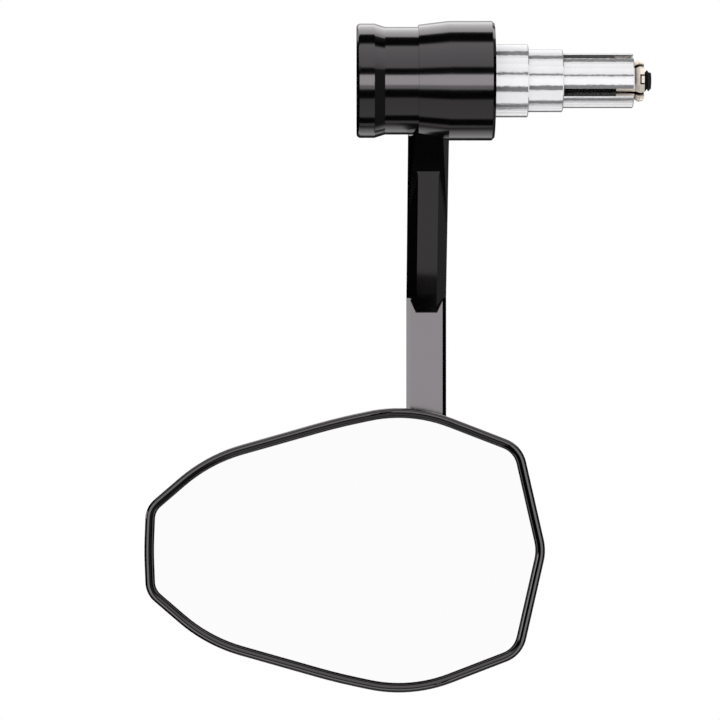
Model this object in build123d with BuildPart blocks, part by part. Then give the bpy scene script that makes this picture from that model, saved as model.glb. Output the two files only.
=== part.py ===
from build123d import *
from math import cos, radians, sin, sqrt, tan
import os

# Bar end mirror for the left end of a motorcycle handlebar, in millimetres.
# +X runs along the bar axis into the bar, +Y points ahead of the rider and +Z is up.
# The origin lies on the bar axis in the plane of the bar's end.

# Clearances
turn_gap = 0.05  # radial gap of a fit that turns or slides
face_gap = 0.02  # gap between flat faces that turn on each other
free_gap = 0.35  # gap where a piece passes another without touching

# Clamp ring of the arm
ring_len = 21.65
ring_wall = 1.1  # over the swivel washer
ring_rise = 1.05
ring_taper_len = 8.6
ring_edge = 0.8

# Outer cap and the spigot that carries the clamp ring
cap_len = 17.6
cap_rim_rise = 0.95
cap_rim_len = 5.1
cap_flare_len = 3.0
waist_step = 0.65  # how far the cap's waist lies below the ring beside it
cap_edge = 1.1
cap_flare_edge = 0.5
spigot_r = 12.0
cap_mouth_chamfer = 0.6

# Washer between the cap and the clamp ring
swivel_washer_w = 2.75
swivel_washer_t = 0.8

# Clamp screw
screw_r = 3.0
screw_head_r = 5.0
screw_head_len = 6.0
screw_head_sink = 2.0
screw_key_r = 2.5
screw_key_depth = 3.2
screw_point = 0.7
screw_tip_reach = 2.15
screw_washer_r = 5.6
screw_washer_t = 1.0

# Stepped sleeves that go into the bar
small_r = 7.75
middle_wall = 1.1
middle_len = 9.9
large_wall = 2.6
large_len = 9.5
small_len = 20.05
sleeve_root_len = 10.0
sleeve_edge = 0.25
slot_w = 2.4
slot_under_ring = 5.4
slot_count = 4
slot_turn = 30.0

# Expander cone and its nut
cone_r = 5.2
cone_lip_r = 6.0
cone_end_r = 5.7
cone_inside_len = 4.95
cone_outside_len = 3.0
cone_flare_start = 0.3
cone_lip_len = 1.25
cone_travel = 2.5
groove_w = 0.8
lip_groove_w = 1.25
groove_floor_r = 3.9
groove_turn = 45.0
nut_hub_r = 4.2
nut_hub_len = 4.0
lug_w = 2.0
lug_len = 0.85
lug_r = 5.4
lug_gap = 0.42

# Arm
arm_x = -18.65
arm_w = 11.7
lean = 37.7
fairing_lean = 47.7
upper_t = 9.5
ridge_flank_w = 2.9
ridge_depth = 4.0
fairing_flank_w = 1.8
fairing_rise = 2.26
fairing_top_z = -25.5
fairing_share = 0.4  # share of the drop to the elbow that the fairing's side profile covers
fairing_root = 3.2
foot_round = 1.1
elbow_z = -65.5
lower_front_y = 37.3
lower_t = 8.0
lower_edge = 1.1
back_edge = 1.0
lower_top_rise = 4.2
elbow_round = 0.6
run_past = 16.0  # how far the arm's helper solids run past the elbow

# Head outline, measured from the bar axis and from the head's midline
head_z = -134.87
tip_x = 15.75
tip_round = 14.0
near_corner = (8.8, 30.5)
near_round = 9.2
crown_corner = (-23.47, 42.94)
crown_round = 43.0
brow_corner = (-45.3, 38.34)
brow_round = 177.0
far_corner = (-83.02, 27.66)
far_round = 47.0
end_corner = (-100.46, 12.65)
end_round = 7.5
end_x = -100.96
end_bow_round = 100.0

# Head section
head_front_y = 17.1
rim_w = 2.6
rim_outer_round = 0.75
rim_inner_round = 1.75
glass_sink = 1.0
glass_t = 2.0
glass_gap = 0.1
glass_edge = 0.1
pad_t = 0.6
pad_inset = 2.0
dome_r = 420.0
dome_x = -43.0
dome_top = 9.4
dome_edge = 1.4

# Ball joint behind the head
ball_y = 27.0
ball_r = 4.5
liner_t = 0.85
liner_front = 3.2
liner_rear = 2.6
socket_depth = 4.8
boss_land = 0.4
boss_skirt = 2.0
cap_flange_land = 1.0
cap_flange_t = 1.9
cap_dome_base_r = 7.8
cap_dome_top_r = 6.0
cap_dome_h = 3.6
cap_screw_count = 3
cap_screw_pitch_r = 10.6
cap_screw_r = 1.2
cap_screw_head_r = 1.9
cap_screw_head_h = 1.3
cap_screw_key_r = 0.75
cap_screw_len = 5.0

# Stud that carries the ball
neck_r = 2.3
stud_r = 3.0
stud_flange_r = 4.6
stud_flange_t = 1.3
stud_washer_r = 5.6
stud_washer_t = 1.2
lock_washer_r = 4.9
lock_washer_t = 1.4
lock_washer_slit = 1.0
stud_nut_flat_r = 5.0
stud_nut_t = 5.0
stud_proud = 1.2

# Outside of the washer, the clamp ring and the cap
swivel_washer_r = spigot_r + turn_gap + swivel_washer_w
ring_small_r = swivel_washer_r + turn_gap + ring_wall
ring_r = ring_small_r + ring_rise
cap_waist_r = ring_small_r - waist_step
cap_rim_r = cap_waist_r + cap_rim_rise

# Outside of the rings that sit on the sleeve
middle_r = small_r + turn_gap + middle_wall
large_r = small_r + turn_gap + large_wall

# Places along the bar axis
ring_x = -ring_len
cap_shoulder_x = ring_x - turn_gap
cap_end_x = cap_shoulder_x - cap_len
large_end_x = large_len
middle_end_x = large_end_x + middle_len
sleeve_end_x = middle_end_x + small_len
slot_start_x = middle_end_x - slot_under_ring
cone_in_x = sleeve_end_x - cone_inside_len
cone_out_x = sleeve_end_x + cone_outside_len
cone_flare_x = sleeve_end_x + cone_flare_start
cone_lip_x = cone_out_x - cone_lip_len
screw_tip_x = cone_out_x + screw_tip_reach
screw_seat_x = cap_end_x + screw_head_sink + screw_head_len + screw_washer_t + face_gap
nut_seat_x = cone_out_x - nut_hub_len

# Places along the arm
elbow = Vector(arm_x, lower_front_y, elbow_z)
up_lean = Vector(0, -sin(radians(lean)), cos(radians(lean)))
into_bar = Vector(0, cos(radians(lean)), sin(radians(lean)))
fairing_foot_y = lower_front_y - (fairing_top_z - elbow_z) * tan(radians(lean))
fairing_n = Vector(0, -cos(radians(fairing_lean)), -sin(radians(fairing_lean)))
fairing_reach = fairing_n.dot(Vector(0, fairing_foot_y, fairing_top_z))
lower_back_y = lower_front_y + lower_t
arm_half = arm_w / 2
ridge_half = arm_half - ridge_flank_w
fairing_half = arm_half - fairing_flank_w
lean_plane = Plane(origin=elbow - up_lean * run_past, x_dir=(1, 0, 0), z_dir=up_lean)
lean_len = run_past - up_lean.dot(elbow)

# Places across the head
glass_y = head_front_y + glass_sink
pad_y = glass_y + glass_t
floor_y = pad_y + pad_t
pivot = Vector(arm_x, ball_y, head_z)
pivot_axis = Axis(pivot, (0, 1, 0))
stud_seat = lower_front_y - ball_y - face_gap
stud_back = lower_back_y - ball_y + face_gap
liner_in_r = ball_r + turn_gap
liner_out_r = liner_in_r + liner_t
socket_r = liner_out_r + turn_gap
cap_flange_r = cap_screw_pitch_r + cap_screw_r + cap_flange_land
boss_r = cap_flange_r + boss_land


def facing(y, x=0, z=0):
    """Plane that faces the rider at depth y; its sketch axes are X and Z."""
    return Plane(origin=(x, y, z), x_dir=(1, 0, 0), z_dir=(0, -1, 0))


def along_pivot():
    """Plane through the ball's centre; its sketch axes are +Y and +Z."""
    return Plane(origin=pivot, x_dir=(0, 1, 0), z_dir=(1, 0, 0))


# Outline of the head, symmetrical about its midline
upper_corners = [near_corner, crown_corner, brow_corner, far_corner, end_corner]
upper_rounds = [near_round, crown_round, brow_round, far_round, end_round]
lower_corners = [(x, -z) for x, z in reversed(upper_corners)]
outline_points = [(tip_x, 0), *upper_corners, (end_x, 0), *lower_corners]
outline_rounds = [tip_round, *upper_rounds, end_bow_round, *reversed(upper_rounds)]
with BuildSketch() as head_outline:
    with BuildLine():
        FilletPolyline(*outline_points, radius=outline_rounds, close=True)
    make_face()

# Outer cap with its spigot
with BuildPart() as end_cap:
    with BuildSketch(Plane.XZ):
        with BuildLine():
            Polyline(
                (cap_end_x, screw_washer_r + turn_gap),
                (cap_end_x, cap_rim_r),
                (cap_end_x + cap_rim_len, cap_rim_r),
                (cap_end_x + cap_rim_len + cap_flare_len, cap_waist_r),
                (cap_shoulder_x, cap_waist_r),
                (cap_shoulder_x, spigot_r),
                (0, spigot_r),
                (0, small_r + turn_gap),
                (-sleeve_root_len, small_r + turn_gap),
                (-sleeve_root_len, screw_r + free_gap),
                (screw_seat_x, screw_r + free_gap),
                (screw_seat_x, screw_washer_r + turn_gap),
                close=True,
            )
        make_face()
    revolve(axis=Axis.X)
    end_rings = end_cap.edges().filter_by(GeomType.CIRCLE).group_by(Axis.X)
    fillet(end_rings[0].sort_by(SortBy.RADIUS)[-1], cap_edge)
    end_rings = end_cap.edges().filter_by(GeomType.CIRCLE).group_by(Axis.X)
    chamfer(end_rings[0].sort_by(SortBy.RADIUS)[0], cap_mouth_chamfer)
    flare_x = cap_end_x + cap_rim_len
    at_flare = end_cap.edges().filter_by_position(Axis.X, flare_x - turn_gap, flare_x + turn_gap)
    fillet(at_flare.filter_by(GeomType.CIRCLE), cap_flare_edge)

# Washer that the clamp ring turns against
with BuildPart() as swivel_washer:
    with BuildSketch(Plane.YZ.offset(cap_shoulder_x)):
        Circle(swivel_washer_r)
        Circle(spigot_r + turn_gap, mode=Mode.SUBTRACT)
    extrude(amount=swivel_washer_t)

# Clamp screw with a hexagon key recess
with BuildPart() as clamp_screw:
    head_x = screw_seat_x - screw_washer_t - face_gap
    with BuildSketch(Plane.XZ):
        with BuildLine():
            Polyline(
                (head_x - screw_head_len, 0),
                (head_x - screw_head_len, screw_head_r),
                (head_x, screw_head_r),
                (head_x, screw_r),
                (screw_tip_x, screw_r),
                (screw_tip_x, 0),
                close=True,
            )
        make_face()
    revolve(axis=Axis.X)
    chamfer(clamp_screw.edges().filter_by(GeomType.CIRCLE).sort_by(Axis.X)[-1], screw_point)
    chamfer(clamp_screw.edges().filter_by(GeomType.CIRCLE).sort_by(Axis.X)[0], screw_point)
    with BuildSketch(Plane.YZ.offset(head_x - screw_head_len)):
        RegularPolygon(screw_key_r, 6, major_radius=False)
    extrude(amount=screw_key_depth, mode=Mode.SUBTRACT)

# Washer under the screw's head
with BuildPart() as screw_washer:
    with BuildSketch(Plane.YZ.offset(screw_seat_x - screw_washer_t)):
        Circle(screw_washer_r)
        Circle(screw_r + free_gap, mode=Mode.SUBTRACT)
    extrude(amount=screw_washer_t)

# Sleeve with slots, bored for the cone
with BuildPart() as expander_sleeve:
    bore_r = cone_r + turn_gap
    mouth_r = cone_lip_r + turn_gap + turn_gap
    mouth_x = sleeve_end_x - cone_travel
    with BuildSketch(Plane.XZ):
        with BuildLine():
            Polyline(
                (-sleeve_root_len, screw_r + free_gap),
                (-sleeve_root_len, small_r),
                (sleeve_end_x, small_r),
                (sleeve_end_x, mouth_r),
                (cone_lip_x - cone_travel, mouth_r),
                (mouth_x, bore_r),
                (slot_start_x, bore_r),
                (slot_start_x, screw_r + free_gap),
                close=True,
            )
        make_face()
    revolve(axis=Axis.X)
    outer_ring = expander_sleeve.edges().filter_by(GeomType.CIRCLE).group_by(Axis.X)[-1]
    chamfer(outer_ring.sort_by(SortBy.RADIUS)[-1], sleeve_edge)
    with BuildSketch(Plane.YZ.offset(slot_start_x)):
        with PolarLocations(small_r, slot_count, start_angle=180 + slot_turn):
            Rectangle(2 * small_r, slot_w)
    extrude(amount=sleeve_end_x - slot_start_x, mode=Mode.SUBTRACT)

# Ring that fills wide bars
with BuildPart() as large_sleeve_ring:
    with BuildSketch(Plane.YZ):
        Circle(large_r)
        Circle(small_r + turn_gap, mode=Mode.SUBTRACT)
    extrude(amount=large_len)
    ring_edges = large_sleeve_ring.edges().filter_by(GeomType.CIRCLE).group_by(Axis.X)[-1]
    chamfer(ring_edges.sort_by(SortBy.RADIUS)[-1], sleeve_edge)

# Ring that fills middle bars
with BuildPart() as middle_sleeve_ring:
    with BuildSketch(Plane.YZ.offset(large_end_x)):
        Circle(middle_r)
        Circle(small_r + turn_gap, mode=Mode.SUBTRACT)
    extrude(amount=middle_len)
    ring_edges = middle_sleeve_ring.edges().filter_by(GeomType.CIRCLE).group_by(Axis.X)[-1]
    chamfer(ring_edges.sort_by(SortBy.RADIUS)[-1], sleeve_edge)

# Cone that spreads the sleeve
with BuildPart() as expander_cone:
    with BuildSketch(Plane.XZ):
        with BuildLine():
            Polyline(
                (cone_in_x, screw_r + free_gap),
                (cone_in_x, cone_r),
                (cone_flare_x, cone_r),
                (cone_lip_x, cone_lip_r),
                (cone_out_x, cone_end_r),
                (cone_out_x, nut_hub_r + turn_gap),
                (nut_seat_x, nut_hub_r + turn_gap),
                (nut_seat_x, screw_r + free_gap),
                close=True,
            )
        make_face()
    revolve(axis=Axis.X)
    groove_deep = cone_lip_r - groove_floor_r
    groove_mid_r = groove_floor_r + groove_deep
    with BuildSketch(Plane.YZ.offset(cone_in_x)):
        with PolarLocations(groove_mid_r, slot_count, start_angle=groove_turn):
            Rectangle(2 * groove_deep, groove_w)
    extrude(amount=cone_out_x - cone_in_x, mode=Mode.SUBTRACT)
    with BuildSketch(Plane.YZ.offset(cone_flare_x)):
        with PolarLocations(groove_mid_r, slot_count, start_angle=groove_turn):
            Rectangle(2 * groove_deep, lip_groove_w)
    extrude(amount=cone_out_x - cone_flare_x, mode=Mode.SUBTRACT)
    notch_len = lug_len + lug_gap
    with BuildSketch(Plane.YZ.offset(cone_out_x - notch_len)):
        with PolarLocations(cone_lip_r, slot_count):
            Rectangle(2 * (cone_lip_r - screw_r), lug_w + 2 * lug_gap)
    extrude(amount=notch_len, mode=Mode.SUBTRACT)

# Lugged nut that draws the cone in
with BuildPart() as cone_nut:
    with BuildSketch(Plane.YZ.offset(nut_seat_x)):
        Circle(nut_hub_r)
    extrude(amount=nut_hub_len)
    with BuildSketch(Plane.YZ.offset(cone_out_x - lug_len)):
        with PolarLocations(lug_r / 2, slot_count):
            Rectangle(lug_r, lug_w)
    extrude(amount=lug_len)
    with BuildSketch(Plane.YZ.offset(nut_seat_x)):
        Circle(screw_r + turn_gap)
    extrude(amount=nut_hub_len, mode=Mode.SUBTRACT)

# Fairing that runs off the clamp ring: a side profile trimmed by the taper of its flanks
with BuildPart() as fairing:
    fairing_low = fairing_top_z + (elbow_z - fairing_top_z) * fairing_share
    fairing_low_y = fairing_foot_y - (fairing_low - fairing_top_z) * tan(radians(fairing_lean))
    tangent_foot = fairing_n * fairing_reach
    deep_low = Vector(0, fairing_low_y, fairing_low) + into_bar * fairing_root
    deep_high = into_bar * (into_bar.dot(elbow) + upper_t - back_edge)
    with BuildSketch(Plane.YZ.offset(arm_x - arm_half)):
        with BuildLine():
            Polyline(
                (tangent_foot.Y, tangent_foot.Z),
                (fairing_low_y, fairing_low),
                (deep_low.Y, deep_low.Z),
                (deep_high.Y, deep_high.Z),
                close=True,
            )
        make_face()
    extrude(amount=arm_w)
    flank_slope = (ridge_depth + fairing_rise) / fairing_flank_w
    flank_top = fairing_rise + ring_r / 2
    flank_half = arm_half - (ridge_depth + flank_top) / flank_slope
    with BuildSketch(lean_plane):
        with BuildLine():
            Polyline(
                (-flank_half, -flank_top),
                (flank_half, -flank_top),
                (arm_half, ridge_depth),
                (arm_half, upper_t - back_edge),
                (-arm_half, upper_t - back_edge),
                (-arm_half, ridge_depth),
                close=True,
            )
        make_face()
    extrude(amount=lean_len + ring_r, mode=Mode.INTERSECT)

# Arm with its clamp ring
with BuildPart() as mirror_arm:
    # Upright lower bar with a round end behind the head
    lower_top_z = elbow_z + lower_top_rise
    with BuildSketch(facing(lower_front_y, arm_x, head_z)):
        with Locations((0, (lower_top_z - head_z) / 2)):
            Rectangle(arm_w, lower_top_z - head_z)
        Circle(arm_half)
    extrude(amount=-lower_t)
    front_edges = mirror_arm.faces().sort_by(Axis.Y)[0].edges()
    chamfer(front_edges.sort_by(Axis.Z)[:-1], lower_edge)
    back_edges = mirror_arm.faces().sort_by(Axis.Y)[-1].edges()
    chamfer(back_edges.sort_by(Axis.Z)[:-1], back_edge)

    # Leaning upper bar with its raised ridge, mitred to the lower bar's back
    with BuildSketch(lean_plane):
        with BuildLine():
            Polyline(
                (-ridge_half, 0),
                (ridge_half, 0),
                (arm_half, ridge_depth),
                (arm_half, upper_t - back_edge),
                (arm_half - back_edge, upper_t),
                (back_edge - arm_half, upper_t),
                (-arm_half, upper_t - back_edge),
                (-arm_half, ridge_depth),
                close=True,
            )
        make_face()
    extrude(amount=lean_len - ring_edge)
    with BuildSketch(Plane(origin=(arm_x, lower_back_y, elbow_z - run_past))):
        with BuildLine():
            Polyline(
                (-arm_w, -back_edge),
                (-arm_half, -back_edge),
                (back_edge - arm_half, 0),
                (arm_half - back_edge, 0),
                (arm_half, -back_edge),
                (arm_w, -back_edge),
                (arm_w, run_past),
                (-arm_w, run_past),
                close=True,
            )
        make_face()
    extrude(amount=run_past + run_past, mode=Mode.SUBTRACT)
    lower_face = mirror_arm.faces().filter_by(Axis.Y).sort_by(Axis.Y)[0]
    valley = lower_face.edges().filter_by(lambda edge: edge.center().Z > elbow_z - elbow_round)
    fillet(valley, elbow_round)

    # Fairing and clamp ring
    add(fairing.part)
    with BuildSketch(Plane.XZ):
        with BuildLine():
            Polyline(
                (ring_x, spigot_r),
                (ring_x, ring_small_r),
                (ring_x + ring_taper_len, ring_r),
                (-ring_edge, ring_r),
                (0, ring_r - ring_edge),
                (0, spigot_r),
                close=True,
            )
        make_face()
    revolve(axis=Axis.X)

    # Bore, recess for the washer, room round the cap's waist and the stud hole
    with BuildSketch(Plane.YZ.offset(ring_x)):
        Circle(spigot_r + turn_gap)
    extrude(amount=ring_len, mode=Mode.SUBTRACT)
    with BuildSketch(Plane.YZ.offset(ring_x)):
        Circle(swivel_washer_r + turn_gap)
    extrude(amount=swivel_washer_t + face_gap - turn_gap, mode=Mode.SUBTRACT)
    with BuildSketch(Plane.YZ.offset(ring_x)):
        Circle(cap_waist_r + free_gap)
    extrude(amount=-arm_w, mode=Mode.SUBTRACT)
    with BuildSketch(facing(lower_front_y, arm_x, head_z)):
        Circle(stud_r + turn_gap)
    extrude(amount=-lower_t, mode=Mode.SUBTRACT)

    # Rounds where the fairing's feet run into the flanks of the ridge
    flat_faces = mirror_arm.faces().filter_by(GeomType.PLANE)
    fairing_face = flat_faces.sort_by(lambda face: face.normal_at().dot(fairing_n))[-1]
    flank_mid = (ridge_half + fairing_half) / 4 + arm_half / 2
    foot_edges = fairing_face.edges().filter_by(
        lambda edge: abs(edge.center().X - arm_x) < flank_mid
        and edge.center().Z < fairing_top_z - elbow_round
    )
    fillet(foot_edges, foot_round)

# Ball stud
with BuildPart() as ball_stud:
    neck_start = sqrt(ball_r**2 - neck_r**2)
    stud_end = stud_back + stud_washer_t + lock_washer_t + stud_nut_t + stud_proud
    with BuildSketch(along_pivot()):
        with BuildLine():
            ThreePointArc((-ball_r, 0), (0, ball_r), (neck_start, neck_r))
            Polyline(
                (neck_start, neck_r),
                (stud_seat - stud_flange_t, neck_r),
                (stud_seat - stud_flange_t, stud_flange_r),
                (stud_seat, stud_flange_r),
                (stud_seat, stud_r),
                (stud_end, stud_r),
                (stud_end, 0),
                (-ball_r, 0),
            )
        make_face()
    revolve(axis=pivot_axis)
    chamfer(ball_stud.edges().filter_by(GeomType.CIRCLE).sort_by(Axis.Y)[-1], screw_point)

# Washer, lock washer and nut behind the arm
with BuildPart() as stud_washer:
    with BuildSketch(facing(ball_y + stud_back, arm_x, head_z)):
        Circle(stud_washer_r)
        Circle(stud_r + turn_gap, mode=Mode.SUBTRACT)
    extrude(amount=-stud_washer_t)

with BuildPart() as stud_lock_washer:
    with BuildSketch(facing(ball_y + stud_back + stud_washer_t, arm_x, head_z)):
        Circle(lock_washer_r)
        Circle(stud_r + turn_gap, mode=Mode.SUBTRACT)
        with Locations((lock_washer_r, 0)):
            Rectangle(2 * lock_washer_r, lock_washer_slit, mode=Mode.SUBTRACT)
    extrude(amount=-lock_washer_t)

with BuildPart() as stud_nut:
    nut_y = ball_y + stud_back + stud_washer_t + lock_washer_t
    with BuildSketch(facing(nut_y, arm_x, head_z)):
        RegularPolygon(stud_nut_flat_r, 6, major_radius=False)
        Circle(stud_r + turn_gap, mode=Mode.SUBTRACT)
    extrude(amount=-stud_nut_t)

# Plastic lining of the ball socket
with BuildPart() as ball_liner:
    with BuildSketch(along_pivot()):
        with BuildLine():
            Polyline(
                (-liner_front, sqrt(liner_in_r**2 - liner_front**2)),
                (-liner_front, sqrt(liner_out_r**2 - liner_front**2)),
            )
            ThreePointArc(
                (-liner_front, sqrt(liner_out_r**2 - liner_front**2)),
                (0, liner_out_r),
                (liner_rear, sqrt(liner_out_r**2 - liner_rear**2)),
            )
            Polyline(
                (liner_rear, sqrt(liner_out_r**2 - liner_rear**2)),
                (liner_rear, sqrt(liner_in_r**2 - liner_rear**2)),
            )
            ThreePointArc(
                (liner_rear, sqrt(liner_in_r**2 - liner_rear**2)),
                (0, liner_in_r),
                (-liner_front, sqrt(liner_in_r**2 - liner_front**2)),
            )
        make_face()
    revolve(axis=pivot_axis)

# Housing of the head: kite outline, domed back, socket boss and glass recess
with BuildPart() as mirror_housing:
    with BuildSketch(facing(head_front_y, 0, head_z)):
        add(head_outline.sketch)
    extrude(amount=-dome_top)
    with Locations((dome_x, head_front_y + dome_top - dome_r, head_z)):
        Sphere(dome_r, mode=Mode.INTERSECT)
    back_rim = mirror_housing.faces().filter_by(GeomType.SPHERE).edges()
    fillet(back_rim, dome_edge)
    front_rim = mirror_housing.faces().sort_by(Axis.Y)[0].edges()
    fillet(front_rim, rim_outer_round)
    with BuildSketch(along_pivot()):
        with BuildLine():
            Polyline(
                (floor_y - ball_y, 0),
                (floor_y - ball_y, boss_r + boss_skirt),
                (0, boss_r),
                (0, 0),
                close=True,
            )
        make_face()
    revolve(axis=pivot_axis)
    with BuildSketch(facing(head_front_y, 0, head_z)):
        add(head_outline.sketch)
        offset(amount=-rim_w, mode=Mode.REPLACE)
    extrude(amount=-(floor_y - head_front_y), mode=Mode.SUBTRACT)
    inner_rim = mirror_housing.faces().sort_by(Axis.Y)[0].inner_wires()[0].edges()
    fillet(inner_rim, rim_inner_round)
    with BuildSketch(along_pivot()):
        with BuildLine():
            ThreePointArc(
                (-socket_depth, sqrt(socket_r**2 - socket_depth**2)),
                (-socket_depth / 2, sqrt(socket_r**2 - (socket_depth / 2) ** 2)),
                (0, socket_r),
            )
            Polyline(
                (0, socket_r),
                (0, 0),
                (-socket_depth, 0),
                (-socket_depth, sqrt(socket_r**2 - socket_depth**2)),
            )
        make_face()
    revolve(axis=pivot_axis, mode=Mode.SUBTRACT)
    with BuildSketch(facing(ball_y, arm_x, head_z)):
        with PolarLocations(cap_screw_pitch_r, cap_screw_count, start_angle=90):
            Circle(cap_screw_r + face_gap)
    extrude(amount=cap_screw_len - cap_flange_t, mode=Mode.SUBTRACT)

# Cap that closes the ball socket
with BuildPart() as socket_cap:
    opening_r = sqrt(socket_r**2 - cap_dome_h**2)
    with BuildSketch(along_pivot()):
        with BuildLine():
            ThreePointArc(
                (0, socket_r),
                (cap_dome_h / 2, sqrt(socket_r**2 - (cap_dome_h / 2) ** 2)),
                (cap_dome_h, opening_r),
            )
            Polyline(
                (cap_dome_h, opening_r),
                (cap_dome_h, cap_dome_top_r),
                (cap_flange_t, cap_dome_base_r),
                (cap_flange_t, cap_flange_r),
                (0, cap_flange_r),
                (0, socket_r),
            )
        make_face()
    revolve(axis=pivot_axis)
    with BuildSketch(facing(ball_y, arm_x, head_z)):
        with PolarLocations(cap_screw_pitch_r, cap_screw_count, start_angle=90):
            Circle(cap_screw_r + face_gap)
    extrude(amount=-cap_flange_t, mode=Mode.SUBTRACT)

# Screws of the socket cap
with BuildPart() as socket_cap_screws:
    screw_top = ball_y + cap_flange_t
    with BuildSketch(facing(screw_top, arm_x, head_z)):
        with PolarLocations(cap_screw_pitch_r, cap_screw_count, start_angle=90):
            Circle(cap_screw_r)
    extrude(amount=cap_screw_len)
    with BuildSketch(facing(screw_top, arm_x, head_z)):
        with PolarLocations(cap_screw_pitch_r, cap_screw_count, start_angle=90):
            Circle(cap_screw_head_r)
    extrude(amount=-cap_screw_head_h)
    with BuildSketch(facing(screw_top + cap_screw_head_h, arm_x, head_z)):
        with PolarLocations(cap_screw_pitch_r, cap_screw_count, start_angle=90):
            RegularPolygon(cap_screw_key_r, 6, major_radius=False)
    extrude(amount=cap_screw_head_h / 2, mode=Mode.SUBTRACT)

# Adhesive pad and the glass
with BuildPart() as mirror_pad:
    with BuildSketch(facing(pad_y, 0, head_z)):
        add(head_outline.sketch)
        offset(amount=-(rim_w + pad_inset), mode=Mode.REPLACE)
    extrude(amount=-pad_t)

with BuildPart() as mirror_glass:
    with BuildSketch(facing(glass_y, 0, head_z)):
        add(head_outline.sketch)
        offset(amount=-(rim_w + glass_gap), mode=Mode.REPLACE)
    extrude(amount=-glass_t)
    chamfer(mirror_glass.faces().sort_by(Axis.Y)[0].edges(), glass_edge)

pieces = {
    "end_cap": end_cap,
    "swivel_washer": swivel_washer,
    "clamp_screw": clamp_screw,
    "screw_washer": screw_washer,
    "expander_sleeve": expander_sleeve,
    "large_sleeve_ring": large_sleeve_ring,
    "middle_sleeve_ring": middle_sleeve_ring,
    "expander_cone": expander_cone,
    "cone_nut": cone_nut,
    "mirror_arm": mirror_arm,
    "ball_stud": ball_stud,
    "stud_washer": stud_washer,
    "stud_lock_washer": stud_lock_washer,
    "stud_nut": stud_nut,
    "ball_liner": ball_liner,
    "mirror_housing": mirror_housing,
    "socket_cap": socket_cap,
    "socket_cap_screws": socket_cap_screws,
    "mirror_pad": mirror_pad,
    "mirror_glass": mirror_glass,
}

os.makedirs("parts", exist_ok=True)
for name, piece in pieces.items():
    piece.part.label = name
    export_step(piece.part, f"parts/{name}.step")
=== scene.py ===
"""Looks of a motorcycle bar end mirror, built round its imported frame.

The frame gives every solid piece in metres: +X runs into the handlebar, +Y points ahead of the
rider and +Z is up. This script gives each piece its finish, cuts the threads and the nut's
corners that the solids leave plain, and sets up the studio and the camera.
"""

import logging
import math
from dataclasses import dataclass, field
from enum import Enum
from typing import Any

import bmesh
import bpy
import numpy as np
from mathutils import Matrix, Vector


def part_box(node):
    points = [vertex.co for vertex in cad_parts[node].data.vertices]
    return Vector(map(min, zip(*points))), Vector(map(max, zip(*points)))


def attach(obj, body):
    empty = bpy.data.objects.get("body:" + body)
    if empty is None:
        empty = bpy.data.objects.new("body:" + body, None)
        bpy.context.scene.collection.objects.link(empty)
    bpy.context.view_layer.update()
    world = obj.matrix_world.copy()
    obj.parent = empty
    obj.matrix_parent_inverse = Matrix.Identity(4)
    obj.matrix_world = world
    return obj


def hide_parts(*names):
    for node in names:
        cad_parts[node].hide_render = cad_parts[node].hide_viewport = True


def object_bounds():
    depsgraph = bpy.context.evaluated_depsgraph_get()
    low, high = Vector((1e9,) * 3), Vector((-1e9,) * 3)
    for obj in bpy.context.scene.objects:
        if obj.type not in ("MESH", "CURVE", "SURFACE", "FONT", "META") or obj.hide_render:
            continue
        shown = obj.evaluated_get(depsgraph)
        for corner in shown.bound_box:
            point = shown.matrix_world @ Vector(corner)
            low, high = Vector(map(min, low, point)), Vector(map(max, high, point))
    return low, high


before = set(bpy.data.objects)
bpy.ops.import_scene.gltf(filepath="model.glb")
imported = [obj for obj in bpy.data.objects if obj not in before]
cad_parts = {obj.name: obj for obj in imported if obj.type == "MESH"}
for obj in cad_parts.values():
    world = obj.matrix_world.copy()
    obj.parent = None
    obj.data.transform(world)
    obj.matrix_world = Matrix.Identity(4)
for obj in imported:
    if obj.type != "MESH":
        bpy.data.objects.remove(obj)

CAD_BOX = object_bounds()
MM = 0.001
# Points of a seam or a pole that lie closer than this become one.
WELD = 0.001 * MM
INTO_BAR = np.array([1.0, 0.0, 0.0])
AHEAD = np.array([0.0, 1.0, 0.0])
UP = np.array([0.0, 0.0, 1.0])

BLACK_NODES = ("end_cap", "mirror_arm", "mirror_housing", "socket_cap")
SLEEVE_NODES = ("expander_sleeve", "large_sleeve_ring", "middle_sleeve_ring")
CUT_SCREW = "clamp_screw_threaded"

Tree = bpy.types.NodeTree
Node = bpy.types.Node
Socket = bpy.types.NodeSocket

log = logging.getLogger("bar_end_mirror")


class Slot(Enum):
    """The material slots."""

    BLACK_ANODISED = "black_anodised"
    BLACK_STEEL = "black_steel"
    NYLON = "nylon"
    TURNED_ALUMINIUM = "turned_aluminium"
    PALE_BRASS = "pale_brass"
    ZINC_STEEL = "zinc_steel"
    ADHESIVE_FOAM = "adhesive_foam"
    MIRROR_GLASS = "mirror_glass"


class Section(Enum):
    """How one row of a turned piece runs round its axis."""

    ROUND = "round"
    HEXAGON = "hexagon"
    THREAD = "thread"


def linear(hex_colour: str) -> tuple[float, float, float, float]:
    """Turns an sRGB hex colour into linear light, by the standard curve.

    Args:
        hex_colour: Colour as "#RRGGBB".

    Returns:
        Red, green, blue and alpha for a colour socket.
    """
    shares = np.array([int(hex_colour[i:i + 2], 16) for i in (1, 3, 5)]) / 255
    low = shares / 12.92
    high = ((shares + 0.055) / 1.055) ** 2.4
    return (*np.where(shares <= 0.04045, low, high).tolist(), 1.0)


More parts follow.
